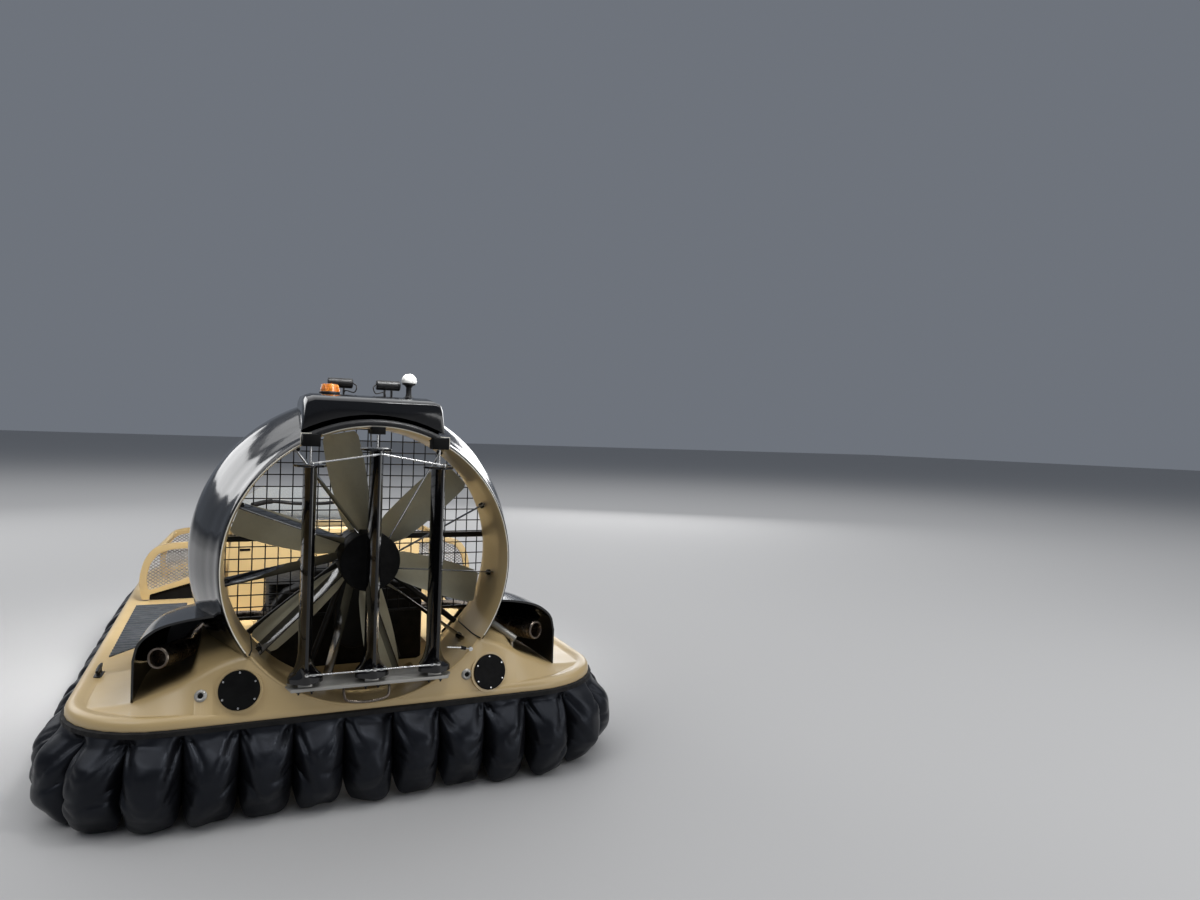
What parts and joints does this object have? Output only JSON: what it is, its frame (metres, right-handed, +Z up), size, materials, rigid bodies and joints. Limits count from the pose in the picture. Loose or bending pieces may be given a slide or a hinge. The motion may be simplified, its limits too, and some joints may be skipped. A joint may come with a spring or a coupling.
{
  "type": "light ducted-fan hovercraft",
  "caption": "Light hovercraft with a segmented fabric skirt, a single stern duct holding fan, flow vanes and rudders, an open cockpit, exhaust hoods and mesh pods.",
  "frame": {"origin": "middle of the craft in plan, on the ground that the skirt and landing runners stand on", "axes": "+X to starboard, +Y to the bow, +Z up"},
  "size_m": [2.19, 4.207, 1.6023],
  "materials": {
    "sand_gelcoat": "glossy sand-coloured gelcoat",
    "gloss_black_gelcoat": "polished black gelcoat",
    "satin_black": "satin black",
    "black_rubber": "dull black rubber",
    "skirt_fabric": "coated fabric with a soft sheen",
    "blade_grp": "pale moulded fan blades",
    "stainless": "brushed stainless steel",
    "aluminium_plate": "dull aluminium plate",
    "engine_casting": "black painted casting",
    "nonslip_sheet": "charcoal ribbed non-slip sheet",
    "expanded_mesh": "grey expanded metal",
    "seat_vinyl": "black grained vinyl",
    "amber_lens": "ribbed amber lens",
    "white_dome": "off-white plastic",
    "clear_screen": "clear sheet"
  },
  "bodies": {
    "hull": {"hull_lower": "sand_gelcoat", "landing_runners": "satin_black", "deck_aft": "sand_gelcoat", "deck_fore": "sand_gelcoat", "rub_rail": "black_rubber", "skirt_stern": "skirt_fabric", "skirt_starboard": "skirt_fabric", "skirt_bow": "skirt_fabric", "skirt_port": "skirt_fabric", "duct_ring": "gloss_black_gelcoat", "head_box": "gloss_black_gelcoat", "beacon": "amber_lens", "work_light_port": "satin_black", "work_light_starboard": "satin_black", "antenna": "white_dome", "stator": "gloss_black_gelcoat", "fan_frame": "satin_black", "belt_cover": "satin_black", "fan_guard": "satin_black", "engine_block": "engine_casting", "hanger_port": "satin_black", "hanger_centre": "satin_black", "hanger_starboard": "satin_black", "splitter_shelf": "aluminium_plate", "grab_handle": "stainless", "hood_port": "gloss_black_gelcoat", "hood_starboard": "gloss_black_gelcoat", "silencer_port": "stainless", "silencer_starboard": "stainless", "hatch_port": "satin_black", "hatch_starboard": "satin_black", "nonslip_port": "nonslip_sheet", "nonslip_starboard": "nonslip_sheet", "pod_frame_port": "sand_gelcoat", "pod_mesh_port": "expanded_mesh", "pod_frame_starboard": "sand_gelcoat", "pod_mesh_starboard": "expanded_mesh", "cockpit_coaming": "sand_gelcoat", "rear_bulkhead": "sand_gelcoat", "dashboard": "satin_black", "seat_bench": "seat_vinyl", "seat_back": "seat_vinyl", "steering_column": "satin_black", "windscreen": "clear_screen"},
    "fan": {"fan": "blade_grp"},
    "rudder_centre": {"rudder_centre": "gloss_black_gelcoat"},
    "rudder_port": {"rudder_port": "gloss_black_gelcoat"},
    "rudder_starboard": {"rudder_starboard": "gloss_black_gelcoat"},
    "tie_rods": {"tie_rod_upper": "stainless", "tie_rod_lower": "stainless"},
    "handlebar": {"handlebar": "satin_black"},
    "bow_hatch": {"bow_hatch": "sand_gelcoat"}
  },
  "joints": [
    {"name": "fan_spin", "type": "hinge", "parent": "hull", "child": "fan", "pos_m": [0, -1.72, 0.866], "axis": [0, 1, 0], "continuous": true},
    {"name": "rudder_centre_swing", "type": "hinge", "parent": "hull", "child": "rudder_centre", "pos_m": [0, -2, 0.9], "axis": [0, 0, 1], "range_deg": [-30, 30]},
    {"name": "rudder_port_swing", "type": "hinge", "parent": "hull", "child": "rudder_port", "pos_m": [-0.23, -2, 0.9], "axis": [0, 0, 1], "range_deg": [-30, 30]},
    {"name": "rudder_starboard_swing", "type": "hinge", "parent": "hull", "child": "rudder_starboard", "pos_m": [0.23, -2, 0.9], "axis": [0, 0, 1], "range_deg": [-30, 30]},
    {"name": "tie_rods_swing", "type": "hinge", "parent": "rudder_centre", "child": "tie_rods", "pos_m": [0, -2.086, 0.9], "axis": [0, 0, 1], "range_deg": [-30, 30]},
    {"name": "handlebar_turn", "type": "hinge", "parent": "hull", "child": "handlebar", "pos_m": [0, 0.726, 0.8], "axis": [0, -0.1799, 0.9837], "range_deg": [-30, 30]},
    {"name": "bow_hatch_lid", "type": "hinge", "parent": "hull", "child": "bow_hatch", "pos_m": [0, 1.582, 0.602], "axis": [-1, 0, 0], "range_deg": [0, 95]}
  ],
  "couplings": [
    {"joint": "rudder_port_swing", "follows": "rudder_centre_swing", "ratio": 1},
    {"joint": "rudder_starboard_swing", "follows": "rudder_centre_swing", "ratio": 1},
    {"joint": "tie_rods_swing", "follows": "rudder_centre_swing", "ratio": -1},
    {"joint": "handlebar_turn", "follows": "rudder_centre_swing", "ratio": -1}
  ]
}
